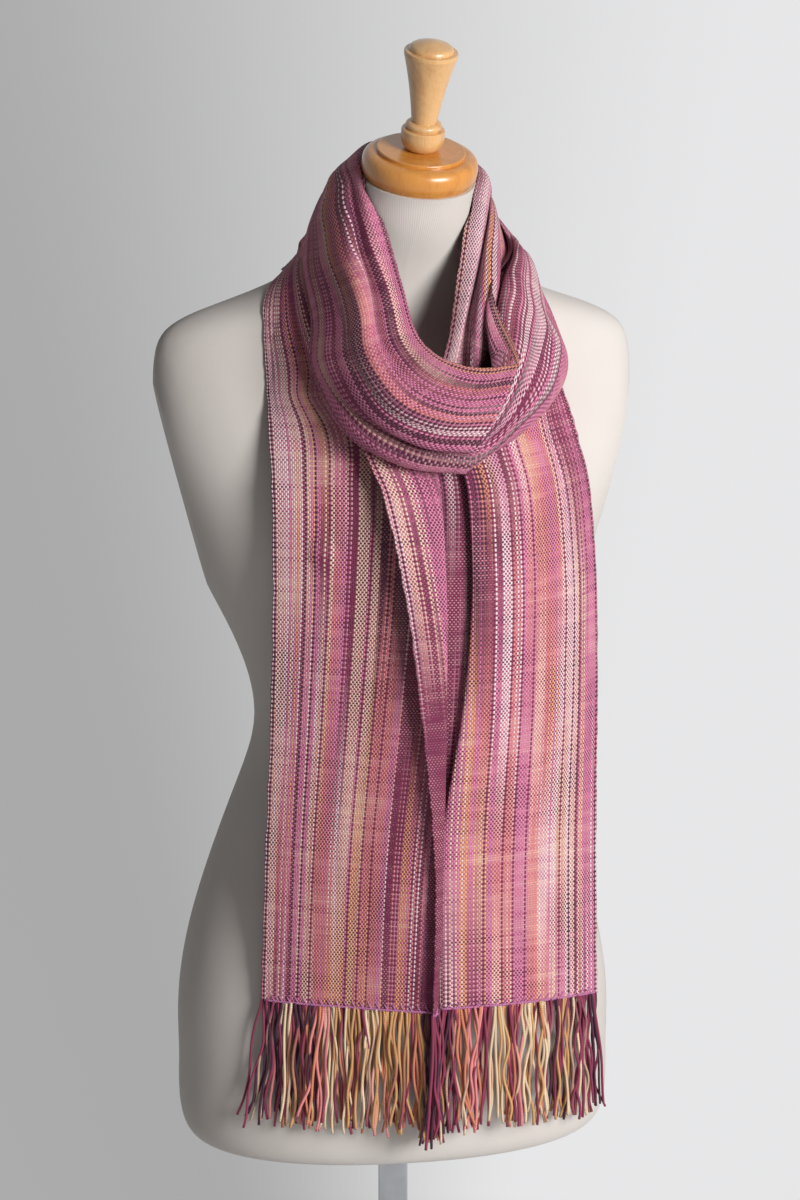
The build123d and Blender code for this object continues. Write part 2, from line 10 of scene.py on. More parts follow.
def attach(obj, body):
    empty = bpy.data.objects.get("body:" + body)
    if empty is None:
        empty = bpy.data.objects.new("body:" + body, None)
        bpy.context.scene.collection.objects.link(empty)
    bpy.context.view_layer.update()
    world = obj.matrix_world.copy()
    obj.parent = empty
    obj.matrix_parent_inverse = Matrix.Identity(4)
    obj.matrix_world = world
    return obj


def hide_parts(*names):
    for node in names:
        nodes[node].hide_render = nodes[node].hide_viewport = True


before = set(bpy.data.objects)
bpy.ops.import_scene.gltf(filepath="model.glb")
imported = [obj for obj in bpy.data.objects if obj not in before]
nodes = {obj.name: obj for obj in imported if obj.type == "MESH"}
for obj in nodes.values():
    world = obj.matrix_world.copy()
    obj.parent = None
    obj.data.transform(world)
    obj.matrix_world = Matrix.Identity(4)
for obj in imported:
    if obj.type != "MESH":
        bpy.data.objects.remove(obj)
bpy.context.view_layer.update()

FORM_UP = 0.72          # underside of the torso above the floor
THICKNESS = 0.0009      # of the cloth
ENDS = 116              # warp threads across the scarf
BAND = 4                # threads that are dyed alike
PICK = 0.00195          # from one weft thread to the next
ROW_STEP = 0.003        # from one row of the cloth's mesh to the next
DYE_STEP = 0.12         # least distance from one choice of dye to the next
YARNS = 132             # in each fringe
YARN_SIDES = 7
BACKDROP = (0.72, 0.72, 0.725)
PICTURE_HEIGHT = 1200   # pixels


# ---------------------------------------------------------------- camera
def look(target, azimuth, elevation, distance):
    """Where a camera stands that looks at `target` from these angles, and its turn."""
    a, e = math.radians(azimuth), math.radians(elevation)
    back = Vector((math.sin(a) * math.cos(e), -math.cos(a) * math.cos(e), math.sin(e)))
    return Vector(target) + back * distance, (-back).to_track_quat("-Z", "Y")


cam = bpy.data.objects.new("camera", bpy.data.cameras.new("camera"))
cam.location, turn = look((0, 0, 1.12), -9, 15.5, 3.1)
cam.rotation_euler = turn.to_euler()
cam.data.lens = 18 / math.tan(math.radians(9.1))
cam.data.shift_x = 7 / PICTURE_HEIGHT
cam.data.shift_y = 65.8 / PICTURE_HEIGHT
cam.data.clip_end = 60
bpy.context.scene.collection.objects.link(cam)
bpy.context.scene.camera = cam


# ---------------------------------------------------------------- mesh help
def new_object(name, points, faces):
    mesh = bpy.data.meshes.new(name)
    mesh.from_pydata([tuple(p) for p in points], [], [tuple(f) for f in faces])
    mesh.update()
    obj = bpy.data.objects.new(name, mesh)
    bpy.context.scene.collection.objects.link(obj)
    for polygon in mesh.polygons:
        polygon.use_smooth = True
    return obj


def hermite(knots, values, at):
    """A smooth curve through values at knots, read at the places `at`."""
    knots, values, at = np.asarray(knots, float), np.asarray(values, float), np.asarray(at, float)
    steps = np.diff(knots)
    shape = (-1,) + (1,) * (values.ndim - 1)
    slopes = np.diff(values, axis=0) / steps.reshape(shape)
    tangents = np.empty_like(values)
    tangents[0], tangents[-1] = slopes[0], slopes[-1]
    before, after = steps[:-1].reshape(shape), steps[1:].reshape(shape)
    tangents[1:-1] = (slopes[:-1] * after + slopes[1:] * before) / (before + after)
    k = np.clip(np.searchsorted(knots, at, side="right") - 1, 0, len(steps) - 1)
    h = steps[k].reshape(shape)
    t = ((at - knots[k]) / steps[k]).reshape(shape)
    return (
        (2 * t**3 - 3 * t**2 + 1) * values[k]
        + (t**3 - 2 * t**2 + t) * h * tangents[k]
        + (-2 * t**3 + 3 * t**2) * values[k + 1]
        + (t**3 - t**2) * h * tangents[k + 1]
    )


def chord(points):
    """Distance run along a line of points."""
    return np.concatenate([[0], np.cumsum(np.linalg.norm(np.diff(points, axis=0), axis=1))])


# ---------------------------------------------------------------- course of the scarf
# Each station runs across the scarf from the edge by the neck to the outer edge, in mm
# from the middle of the torso's underside. The scarf goes from the hem on the left up
# over the shoulder, behind the neck, across the chest as a cowl, behind the neck again
# and down on the right.
def hang_left(z, front, fold, lapel, edge, depth, rise=9):
    """The left tail: a flat panel whose inner edge is folded forward as a lapel."""
    face = [
        (fold - lapel, -8),
        (fold - lapel * 0.5, -6.5),
        (fold - 2.5, -5),
        (fold + 0.5, -2.5),
        (fold - 2.5, 0),
    ]
    for t in (0.12, 0.3, 0.48, 0.66, 0.84, 1.0):
        face.append((fold + (edge - fold) * t, rise * min(1.0, t / 0.45) + 0.8 * depth * t**1.6))
    return [(x, d - front - rise, z) for x, d in face]


def hang_right(z, front, fold, edge, depth, inner=24, slant=0.0):
    """The right tail: a flat panel whose inner edge is pleated back under itself."""
    face = [
        (fold - inner, 10),
        (fold - inner * 0.3, 9),
        (fold + 8, 7.5),
        (fold + 10, 6),
        (fold + 6, 3.8),
        (fold, 1.6),
    ]
    for t in (0.05, 0.27, 0.5, 0.75, 1.0):
        face.append((fold + (edge - fold) * t, depth * t**2.1))
    return [(x, d - front, z - slant * max(d, 0)) for x, d in face]


# Sections across the scarf in mm, from the left hem round the neck to the right hem. Each
# runs from the edge by the neck to the outer edge. Those at the cowl's front, 14 to 27, were
# worked out from the camera's view at guessed depths, then altered and filled in.
stations = [
    hang_left(148, 138, 13, 5, -124, 53),
    hang_left(272, 139, 17, 8, -120, 50),
    hang_left(397, 140, 19, 21, -115, 46),
    hang_left(513, 141, 18, 36, -113, 42),
    hang_left(578, 133, 15, 46, -113, 37, 7),
    hang_left(622, 112, 8, 52, -112, 40, 4),
    [(-2, -100, 668), (-14, -84, 666), (-22, -92, 668), (-32, -78, 666), (-42, -86, 666), (-54, -74, 665),
     (-64, -78, 664), (-76, -68, 663), (-88, -67, 662), (-100, -60, 661), (-110, -51, 660)],
    [(-32, -78, 716), (-38, -66, 712), (-46, -74, 712), (-54, -62, 709), (-62, -68, 708), (-70, -56, 705),
     (-78, -58, 704), (-86, -49, 702), (-94, -45, 700), (-101, -40, 698), (-108, -31, 696)],
    [(-56, -42, 752), (-59, -36, 748), (-63, -42, 748), (-67, -32, 744), (-71, -36, 742), (-75, -27, 740),
     (-80, -28, 737), (-84, -21, 733), (-89, -19, 730), (-93, -14, 727), (-98, -11, 723)],
    [(-54, -6, 764), (-57, 0, 760), (-61, -4, 758), (-63, 4, 753), (-67, 0, 751), (-70, 8, 747),
     (-74, 4, 744), (-78, 10, 740), (-81, 7, 737), (-84, 10, 734), (-88, 8, 731)],
    [(-44, 20, 778), (-47, 26, 770), (-52, 23, 768), (-54, 30, 760), (-59, 27, 757), (-62, 33, 750),
     (-67, 30, 746), (-71, 34, 740), (-76, 31, 736), (-80, 32, 732), (-86, 29, 728)],
    [(0, 32, 800), (-1, 40, 792), (-2, 37, 786), (-3, 44, 777), (-4, 42, 771), (-5, 49, 763),
     (-6, 48, 755), (-7, 53, 748), (-8, 52, 740), (-9, 54, 733), (-10, 53, 726)],
    [(46, 26, 800), (52, 31, 790), (55, 28, 785), (59, 34, 776), (62, 32, 770), (67, 37, 761),
     (70, 35, 754), (76, 37, 747), (80, 35, 740), (86, 34, 734), (91, 31, 728)],
    [(78, -4, 776), (84, 0, 771), (90, 2, 764), (94, 5, 757), (98, 8, 749), (100, 12, 742),
     (101, 16, 735), (99, 20, 730), (95, 19, 731), (91, 14, 734), (87, 8, 740)],
    [(89, -38, 755), (87, -36, 751), (90, -31, 747), (93, -44, 756), (99, -38, 749), (106, -28, 738),
     (110, -16, 728), (107, -8, 724), (100, -10, 728), (92, -14, 736), (85, -14, 744)],
    [(84, -58, 748), (79, -56, 744), (83, -50, 738), (88, -63, 748), (99, -60, 737), (110, -48, 722),
     (117, -36, 708), (110, -36, 704), (102, -42, 708), (94, -46, 716), (88, -46, 724)],
    [(71, -80, 740), (66, -78, 734), (72, -70, 724), (81, -84, 737), (98, -84, 720), (113, -70, 702),
     (123, -56, 684), (117, -55, 674), (105, -60, 680), (94, -64, 690), (88, -64, 698)],
    [(62, -100, 732), (57, -104, 720), (64, -98, 708), (76, -102, 725), (97, -104, 706), (117, -90, 686),
     (126, -74, 665), (121, -67, 648), (110, -64, 646), (98, -70, 660), (88, -74, 672)],
    [(66, -116, 713), (56, -120, 703), (58, -120, 689), (73, -118, 708), (92, -126, 688), (108, -118, 664),
     (108, -112, 648), (101, -110, 636), (92, -100, 632), (82, -90, 652), (74, -86, 674)],
    [(72, -130, 697), (60, -131, 686), (56, -137, 672), (75, -132, 690), (86, -142, 668), (91, -141, 650),
     (87, -139, 638), (79, -137, 626), (70, -130, 618), (62, -112, 638), (58, -102, 662)],
    [(77, -143, 679), (67, -156, 664), (57, -166, 647), (46, -171, 630), (39, -169, 616), (37, -157, 614),
     (35, -160, 604), (30, -150, 596), (34, -134, 610), (38, -124, 634), (40, -118, 656)],
    [(48, -149, 677), (36, -160, 662), (23, -166, 648), (9, -169, 634), (-2, -164, 622), (-5, -151, 620),
     (-12, -155, 610), (-14, -145, 603), (-8, -132, 616), (0, -122, 638), (6, -116, 660)],
    [(19, -140, 683), (6, -153, 675), (-9, -152, 665), (-24, -160, 655), (-41, -148, 645), (-46, -130, 641),
     (-52, -131, 630), (-50, -120, 620), (-42, -108, 634), (-30, -100, 654), (-20, -96, 672)],
    [(2, -124, 696), (-15, -138, 695), (-28, -131, 691), (-41, -137, 687), (-60, -116, 678),
     (-71, -92, 668), (-71, -86, 656), (-66, -84, 645), (-58, -80, 660), (-47, -82, 676), (-38, -84, 690)],
    [(-9, -102, 736), (-24, -115, 736), (-35, -107, 733), (-45, -112, 731), (-61, -92, 720),
     (-71, -66, 710), (-72, -54, 704), (-71, -46, 712), (-66, -42, 726), (-61, -42, 738), (-55, -46, 748)],
    [(-17, -80, 772), (-31, -90, 772), (-41, -81, 769), (-49, -84, 768), (-63, -62, 759), (-71, -34, 751),
     (-72, -16, 745), (-76, 6, 742), (-73, 14, 750), (-68, 8, 760), (-62, -2, 768)],
    [(-24, -60, 801), (-34, -66, 799), (-42, -55, 797), (-49, -54, 795), (-60, -28, 787), (-64, -4, 779),
     (-62, 18, 768), (-64, 30, 757), (-69, 34, 746), (-62, 36, 756), (-56, 34, 768)],
    [(-30, -36, 823), (-35, -38, 822), (-41, -30, 819), (-46, -24, 816), (-49, -5, 809), (-49, 10, 802),
     (-47, 22, 793), (-47, 32, 780), (-50, 38, 766), (-54, 42, 752), (-58, 42, 738)],
    [(-16, 4, 832), (-20, 8, 831), (-22, 14, 826), (-24, 22, 818), (-26, 28, 809), (-27, 34, 800),
     (-28, 38, 790), (-30, 43, 779), (-32, 47, 768), (-34, 51, 755), (-36, 53, 742)],
    [(16, 14, 832), (16, 20, 829), (16, 22, 822), (16, 28, 814), (15, 28, 805), (15, 34, 796),
     (14, 35, 786), (14, 42, 776), (13, 42, 764), (12, 46, 752), (12, 46, 740)],
    [(50, 4, 824), (54, 8, 820), (56, 6, 813), (60, 12, 806), (61, 10, 798), (65, 17, 789),
     (66, 14, 781), (70, 21, 772), (72, 19, 763), (76, 24, 754), (79, 22, 744)],
    [(63, -18, 814), (71, -22, 810), (74, -20, 803), (73, -26, 796), (76, -14, 790), (80, -8, 783),
     (82, -4, 775), (86, 0, 766), (90, 2, 757), (94, 4, 748), (98, 4, 739)],
    [(55, -40, 794), (66, -43, 791), (72, -38, 785), (70, -50, 780), (76, -48, 772), (78, -34, 764),
     (84, -28, 758), (88, -24, 750), (93, -20, 742), (98, -17, 734), (103, -14, 727)],
    [(47, -60, 770), (60, -62, 768), (64, -58, 762), (63, -74, 757), (73, -72, 750), (76, -58, 744),
     (82, -52, 738), (88, -47, 730), (95, -42, 722), (101, -38, 715), (108, -34, 708)],
    [(38, -82, 737), (50, -86, 738), (53, -80, 733), (55, -98, 730), (66, -96, 724), (70, -82, 718),
     (78, -76, 712), (87, -70, 706), (97, -62, 699), (107, -54, 692), (115, -46, 685)],
    [(28, -104, 696), (37, -108, 700), (41, -102, 698), (46, -116, 694), (57, -112, 688), (62, -100, 682),
     (72, -92, 676), (84, -84, 672), (98, -74, 668), (110, -64, 664), (122, -54, 660)],
    hang_right(624, 124, 30, 132, 64, 20),
    hang_right(578, 136, 37, 145, 62, 20),
    hang_right(518, 143, 40, 152, 66, 24),
    hang_right(410, 143, 34, 156, 66, 20),
    hang_right(286, 142, 16, 157, 66, 10, 0.12),
    hang_right(148, 140, 15, 159, 60, 8, 0.26),
]
FIRST_COWL, LAST_COWL = 12, 28      # the stations between which the scarf is the cowl
CREASE = 20                         # the station where the cowl is folded sharply


def course():
    """The scarf as rows of points: every row has one point for each warp thread's side."""
    even = np.linspace(0, 1, 41)
    lines = np.array([hermite(np.linspace(0, 1, len(s)), s, even) for s in stations])
    run = chord(lines.mean(axis=1)) / 1000
    marks = [0.0, run[FIRST_COWL], run[LAST_COWL], run[-1]]
    stops = sorted(marks + [run[CREASE]])
    spans = []
    for low, high in zip(stops[:-1], stops[1:]):
        spans.append(np.linspace(low, high, int(round((high - low) / ROW_STEP)) + 1))
    places = np.unique(np.round(np.concatenate(spans), 9))
    before = places <= run[CREASE] + 1e-6
    first = hermite(run[: CREASE + 1], lines[: CREASE + 1], places[before])
    second = hermite(run[CREASE:], lines[CREASE:], places[~before])
    rows = []
    for line in np.concatenate([first, second]):
        fine = hermite(np.linspace(0, 1, len(line)), line, np.linspace(0, 1, 400))
        length = chord(fine)
        across = np.linspace(0, length[-1], ENDS + 1)
        rows.append(np.stack([np.interp(across, length, fine[:, k]) for k in range(3)], axis=1))
    return places, np.array(rows) / 1000 + [0, 0, FORM_UP], marks, int(before.sum()) - 1


def relax(rows, rounds, crease):
    """Softens the cloth everywhere but along its sharp crease."""
    soft = np.ones(len(rows) - 2)
    soft[crease - 2 : crease + 1] = 0.25
    soft = soft[:, None, None]
    for _ in range(rounds):
        middle = rows[1:-1].copy()
        middle[:, 1:-1] = 0.5 * rows[1:-1, 1:-1] + 0.125 * (
            rows[:-2, 1:-1] + rows[2:, 1:-1] + rows[1:-1, :-2] + rows[1:-1, 2:]
        )
        middle[:, 0] = 0.5 * rows[1:-1, 0] + 0.25 * (rows[:-2, 0] + rows[2:, 0])
        middle[:, -1] = 0.5 * rows[1:-1, -1] + 0.25 * (rows[:-2, -1] + rows[2:, -1])
        rows[1:-1] += soft * (middle - rows[1:-1])
    return rows


def clear_of_torso(rows, gap):
    """Moves the points of the cloth that are too near the covered torso out of it."""
    mesh = nodes["jersey_cover"].data
    corners = [v.co.copy() for v in mesh.vertices]
    outside = []
    for polygon in mesh.polygons:
        x, y, z = polygon.center
        neck = min(max((z - 1.45) / 0.08, 0.0), 1.0)
        if Vector((x - 0.012 * neck, y + 0.045 * neck, 0.0)).dot(polygon.normal) > 0:
            outside.append(polygon.vertices[:])
    tree = BVHTree.FromPolygons(corners, outside)
    for row in rows:
        for point in row:
            found, normal, _, distance = tree.find_nearest(Vector(point))
            side = (Vector(point) - found).dot(normal)
            if side < 0 or distance < gap:
                point[:] = found + normal * gap
    return rows


def folds(rows, places, marks, crease):
    """Raises soft folds that run along the cowl, with narrow valleys between them."""
    ahead = np.gradient(rows, axis=0)
    across = np.gradient(rows, axis=1)
    normal = np.cross(ahead, across)
    normal /= np.linalg.norm(normal, axis=2, keepdims=True)
    middle = (np.searchsorted(places, marks[1]) + np.searchsorted(places, marks[2])) // 2
    if normal[middle, ENDS // 2, 1] > 0:
        normal = -normal
    t = np.linspace(0, 1, ENDS + 1)[None, :]
    cowl_part = np.clip((places - marks[1]) / 0.10, 0, 1) * np.clip((marks[2] - places) / 0.10, 0, 1)
    tails = 0.22 * np.clip(places / 0.08, 0, 1) * np.clip((marks[3] - places) / 0.08, 0, 1)
    size = np.maximum(cowl_part, tails)
    size *= 1 - 0.6 * np.exp(-(((np.arange(len(places)) - crease) / 9.0) ** 2))
    drift = places[:, None]
    wave = np.abs(np.cos(math.pi * (2.6 * t + 0.55 * np.sin(7.0 * drift) + 0.9 * drift))) ** 0.8
    small = np.abs(np.cos(math.pi * (6.3 * t + 0.7 * np.sin(11.0 * drift + 1.0)))) ** 0.9
    away = np.sin(math.pi * t) ** 0.5
    height = (0.0042 * wave + 0.0013 * small) * away * size[:, None]
    return rows + normal * (height - 0.0018 * away * size[:, None])[..., None]


def ripple(rows, length):
    """Lets both edges of the cloth wander a little, as a handwoven selvedge does."""
    for edge, inner, seed in ((0, 4, 41), (-1, -5, 42)):
        local = np.random.default_rng(seed)
        steps = int(length / 0.006) + 4
        at_rows = np.linspace(0, steps - 3, len(rows))
        wander = np.interp(at_rows, np.arange(steps), local.uniform(-1, 1, steps))
        out = rows[:, edge] - rows[:, inner]
        out /= np.linalg.norm(out, axis=1, keepdims=True)
        for share, column in ((1.0, 0), (0.5, 1), (0.2, 2)):
            at = column if edge == 0 else -1 - column
            rows[:, at] += out * (wander * 0.0008 * share)[:, None]
    return rows


places, rows, marks, crease = course()
rows = relax(rows, 2, crease)
rows = folds(rows, places, marks, crease)
rows = clear_of_torso(rows, 0.0018)
rows = relax(rows, 1, crease)
rows = clear_of_torso(rows, 0.0016)
rows = ripple(rows, marks[-1])

# ---------------------------------------------------------------- dyed threads
shades = {
    "p": (0.055, 0.004, 0.028),     # plum
    "m": (0.240, 0.015, 0.078),     # magenta
    "o": (0.760, 0.250, 0.430),     # orchid
    "r": (0.800, 0.270, 0.270),     # rose
    "c": (0.920, 0.430, 0.230),     # coral
    "b": (0.950, 0.620, 0.520),     # blush
    "l": (0.950, 0.700, 0.760),     # light pink
    "w": (0.950, 0.820, 0.740),     # cream
    "g": (0.800, 0.510, 0.310),     # gold
    "n": (0.260, 0.026, 0.080),     # wine
    "y": (0.820, 0.640, 0.440),     # straw
    "t": (0.680, 0.370, 0.150),     # tan
    "e": (0.660, 0.230, 0.130),     # terracotta
}
families = {
    "dark": "pppmmnmo",
    "pink": "ooomlrlb",
    "warm": "ccrrbbgo",
    "pale": "lbwlobcl",
}
# The broad colour areas of the painted warp: at a share of the scarf's length, the family
# that rules each fifth of its width, from the edge by the neck to the outer edge.
areas = {
    0.00: ("dark", "warm", "warm", "warm", "pink"),
    0.12: ("pink", "dark", "warm", "pink", "pale"),
    0.24: ("warm", "dark", "dark", "pink", "pale"),
    0.36: ("dark", "pink", "warm", "pink", "dark"),
    0.45: ("dark", "pink", "pink", "pale", "pink"),
    0.52: ("warm", "dark", "dark", "pink", "dark"),
    0.60: ("dark", "warm", "dark", "warm", "pink"),
    0.70: ("pink", "pale", "pale", "warm", "dark"),
    0.80: ("dark", "dark", "warm", "warm", "pink"),
    0.90: ("pink", "warm", "pink", "pale", "pale"),
    1.00: ("dark", "warm", "warm", "warm", "pink"),
}


def noise_line(length, step, seed):
    """A smooth random line from -1 to 1 with one new value every `step` metres."""
    local = np.random.default_rng(seed)
    count = int(length / step) + 4
    return np.arange(count) * step, local.uniform(-1, 1, count)


def painted_warp(length):
    """The dyes of each band of threads at even steps along the scarf."""
    local = np.random.default_rng(7)
    bands = ENDS // BAND
    steps = np.linspace(0, length, int(length / DYE_STEP) + 1)
    shares, rulers = np.array(list(areas)), list(areas.values())
    table = []
    for band in range(bands):
        dye, line = "", []
        for step in steps:
            share = step / length + local.normal(0, 0.025)
            fifth = int(np.clip((band + 0.5) / bands * 5 + local.normal(0, 0.35), 0, 4))
            area = rulers[int(np.abs(shares - share).argmin())]
            choice = families[area[fifth]]
            if dye not in choice or not dye or local.random() < 0.35:
                dye = str(local.choice(list(choice)))
            line.append(shades[dye])
        table.append(line)
    return steps, np.array(table)


def thread_colours(places):
    """The colour of each warp thread along the scarf, as rows of threads."""
    local = np.random.default_rng(5)
    steps, table = painted_warp(places[-1])
    bright = table.sum(axis=2)
    out = np.zeros((len(places), ENDS, 3))
    for k in range(ENDS):
        band = int(np.clip((k + local.normal(0, 2.2)) / BAND, 0, len(table) - 1))
        shift = local.normal(0, 0.018)
        own = table[band].copy()
        kind = local.random()
        if kind < 0.13:
            other = np.array(shades[local.choice(list("pmmo"))])
            own = np.where(bright[band][:, None] > 1.0, other, own)
        elif kind < 0.22:
            other = np.array(shades[local.choice(list("llooc"))])
            own = np.where(bright[band][:, None] < 1.0, other, own)
        xs, vs = noise_line(places[-1], 0.03, 200 + k)
        value = 1.0 + 0.13 * np.interp(places, xs, vs)
        for c in range(3):
            out[:, k, c] = np.interp(places + shift, steps, own[:, c]) * value
    return np.clip(out, 0.0, 0.95)


colours = thread_colours(places)


def cloth(name, first, last):
    """One stretch of the scarf as a mesh, with its threads' colours and places."""
    take = np.where((places >= first - 1e-6) & (places <= last + 1e-6))[0]
    grid = rows[take]
    count, wide = grid.shape[:2]
    index = np.arange(count * wide).reshape(count, wide)
    faces = np.stack(
        [index[:-1, :-1], index[:-1, 1:], index[1:, 1:], index[1:, :-1]], axis=-1
    ).reshape(-1, 4)
    obj = new_object(name, grid.reshape(-1, 3), faces)
    mesh = obj.data
    row_of, thread_of = np.divmod(np.arange(len(faces)), wide - 1)
    corner_row = np.stack([row_of, row_of, row_of + 1, row_of + 1], axis=1)
    corner_side = np.stack([thread_of, thread_of + 1, thread_of + 1, thread_of], axis=1)
    dye = colours[take][corner_row, thread_of[:, None]]
    layer = mesh.color_attributes.new("dye", "FLOAT_COLOR", "CORNER")
    layer.data.foreach_set("color", np.concatenate([dye, np.ones(dye.shape[:2] + (1,))], axis=-1).ravel())
    weave = mesh.uv_layers.new(name="weave")
    along = places[take][corner_row] / PICK
    weave.data.foreach_set("uv", np.stack([corner_side.astype(float), along], axis=-1).ravel())
    bake = mesh.uv_layers.new(name="OFBake")
    flat = np.stack([corner_side / (wide - 1), corner_row / (count - 1)], axis=-1)
    bake.data.foreach_set("uv", (0.01 + 0.98 * flat).ravel())
    return obj


left_tail = cloth("scarf_left", marks[0], marks[1])
cowl = cloth("scarf_cowl_cloth", marks[1], marks[2])
right_tail = cloth("scarf_right", marks[2], marks[3])
stands_for = ((left_tail, "scarf_left_tail"), (cowl, "scarf_cowl"), (right_tail, "scarf_right_tail"))
for piece, node in stands_for:
    thick = piece.modifiers.new("cloth", "SOLIDIFY")
    thick.thickness = THICKNESS
    thick.offset = 0
    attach(piece, "form")
    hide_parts(node)


# ---------------------------------------------------------------- materials
class Nodes:
    """A short way to write a material's nodes."""

    def __init__(self, name):
        self.material = bpy.data.materials.new(name)
        self.material.use_nodes = True
        self.tree = self.material.node_tree
        self.shader = self.tree.nodes["Principled BSDF"]

    def add(self, kind, inputs=None, **settings):
        node = self.tree.nodes.new(kind)
        for key, value in settings.items():
            setattr(node, key, value)
        for key, value in (inputs or {}).items():
            self.put(node.inputs[key], value)
        return node

    def put(self, socket, value):
        if isinstance(value, bpy.types.NodeSocket):
            self.tree.links.new(value, socket)
        elif isinstance(value, bpy.types.Node):
            self.tree.links.new(value.outputs[0], socket)
        else:
            socket.default_value = value

    def math(self, operation, a, b=0.0, c=0.0):
        return self.add("ShaderNodeMath", {0: a, 1: b, 2: c}, operation=operation).outputs[0]

    def mix(self, factor, a, b, blend="MIX"):
        node = self.add("ShaderNodeMix", data_type="RGBA", blend_type=blend)
        self.put(node.inputs[0], factor)
        self.put(node.inputs[6], a)
        self.put(node.inputs[7], b)
        return node.outputs[2]

    def ramp(self, value, stops):
        node = self.add("ShaderNodeValToRGB", {0: value})
        while len(node.color_ramp.elements) < len(stops):
            node.color_ramp.elements.new(0.5)
        for element, (place, colour) in zip(node.color_ramp.elements, stops):
            element.position = place
            element.color = (*colour, 1)
        return node.outputs[0]


def set_material(obj, material):
    obj.data.materials.clear()
    obj.data.materials.append(material)


def scarf_material():
    """Plain weave: in every second cell the weft shows as a dot between two warp floats."""
    n = Nodes("handwoven")
    uv = n.add("ShaderNodeUVMap", uv_map="weave")
    split = n.add("ShaderNodeSeparateXYZ", {0: uv})
    u, v = split.outputs[0], split.outputs[1]
    cell_u, cell_v = n.math("FLOOR", u), n.math("FLOOR", v)
    part_u = n.math("ABSOLUTE", n.math("SUBTRACT", n.math("SUBTRACT", u, cell_u), 0.5))
    part_v = n.math("ABSOLUTE", n.math("SUBTRACT", n.math("SUBTRACT", v, cell_v), 0.5))
    odd = n.math("MODULO", n.math("ADD", cell_u, n.math("ADD", cell_v, 1000.0)), 2.0)
    low_cell = n.math("GREATER_THAN", odd, 0.5)
    dot = n.math("MULTIPLY", low_cell, n.math("LESS_THAN", part_v, 0.36))
    from_crown = n.math("ABSOLUTE", n.math("SUBTRACT", low_cell, part_v))
    float_height = n.math(
        "MULTIPLY",
        n.math("COSINE", n.math("MULTIPLY", part_u, 2.9)),
        n.math("COSINE", n.math("MULTIPLY", from_crown, 2.15)),
    )
    dot_height = n.math(
        "MULTIPLY",
        n.math("COSINE", n.math("MULTIPLY", part_v, 3.9)),
        n.math("MULTIPLY", n.math("COSINE", n.math("MULTIPLY", part_u, 2.2)), 0.7),
    )
    either = n.add("ShaderNodeMix", {0: dot, 2: float_height, 3: dot_height}, data_type="FLOAT")
    height = n.math("MAXIMUM", either.outputs[0], 0.0)
    dye = n.add("ShaderNodeVertexColor", layer_name="dye").outputs[0]

    # The weft changes from pick to pick, and more slowly in patches.
    pick = n.add(
        "ShaderNodeCombineXYZ", {0: n.math("MULTIPLY", u, 0.03), 1: n.math("MULTIPLY", cell_v, 0.31)}
    )
    patch = n.add(
        "ShaderNodeCombineXYZ", {0: n.math("MULTIPLY", u, 0.035), 1: n.math("MULTIPLY", v, 0.018)}
    )
    by_pick = n.add("ShaderNodeTexNoise", {"Vector": pick, "Scale": 1.0, "Detail": 1.0}).outputs[0]
    by_patch = n.add("ShaderNodeTexNoise", {"Vector": patch, "Scale": 1.0, "Detail": 1.0}).outputs[0]
    weft_noise = n.math(
        "ADD", n.math("MULTIPLY", by_pick, 0.4), n.math("MULTIPLY", by_patch, 0.6)
    )
    on_light = n.ramp(
        weft_noise,
        [
            (0.40, (0.12, 0.009, 0.034)),
            (0.48, (0.34, 0.045, 0.120)),
            (0.56, (0.62, 0.200, 0.280)),
            (0.66, (0.88, 0.520, 0.460)),
        ],
    )
    on_dark = n.ramp(weft_noise, [(0.40, (0.28, 0.045, 0.130)), (0.60, (0.82, 0.380, 0.460))])
    value = n.add("ShaderNodeRGBToBW", {0: dye}).outputs[0]
    light_warp = n.add("ShaderNodeMapRange", {0: value, 1: 0.06, 2: 0.30}).outputs[0]
    weft = n.mix(light_warp, on_dark, on_light)
    fibre = n.add("ShaderNodeTexNoise", {"Vector": uv, "Scale": 2.3, "Detail": 2.0}).outputs[0]
    top = n.mix(dot, dye, weft)
    lit = n.mix(1.0, top, n.ramp(fibre, [(0.3, (0.86, 0.86, 0.86)), (0.7, (1.0, 1.0, 1.0))]), "MULTIPLY")
    # Painted shade: where the cloth lies low between the threads, its colour is darkened towards a
    # near-black plum, less so under light warps.
    gap = n.math("POWER", height, 0.75)
    depth = n.math("SUBTRACT", 0.88, n.math("MULTIPLY", light_warp, 0.36))
    n.put(n.shader.inputs["Base Color"], n.mix(gap, n.mix(depth, lit, (0.040, 0.005, 0.014, 1)), lit))
    n.shader.inputs["Roughness"].default_value = 0.8
    n.shader.inputs["Sheen Weight"].default_value = 0.03
    n.shader.inputs["Sheen Roughness"].default_value = 0.4
    bump = n.add("ShaderNodeBump", {"Height": height, "Distance": 0.0005, "Strength": 0.8})
    n.put(n.shader.inputs["Normal"], bump)
    return n.material


handwoven = scarf_material()
for piece in (left_tail, cowl, right_tail):
    set_material(piece, handwoven)


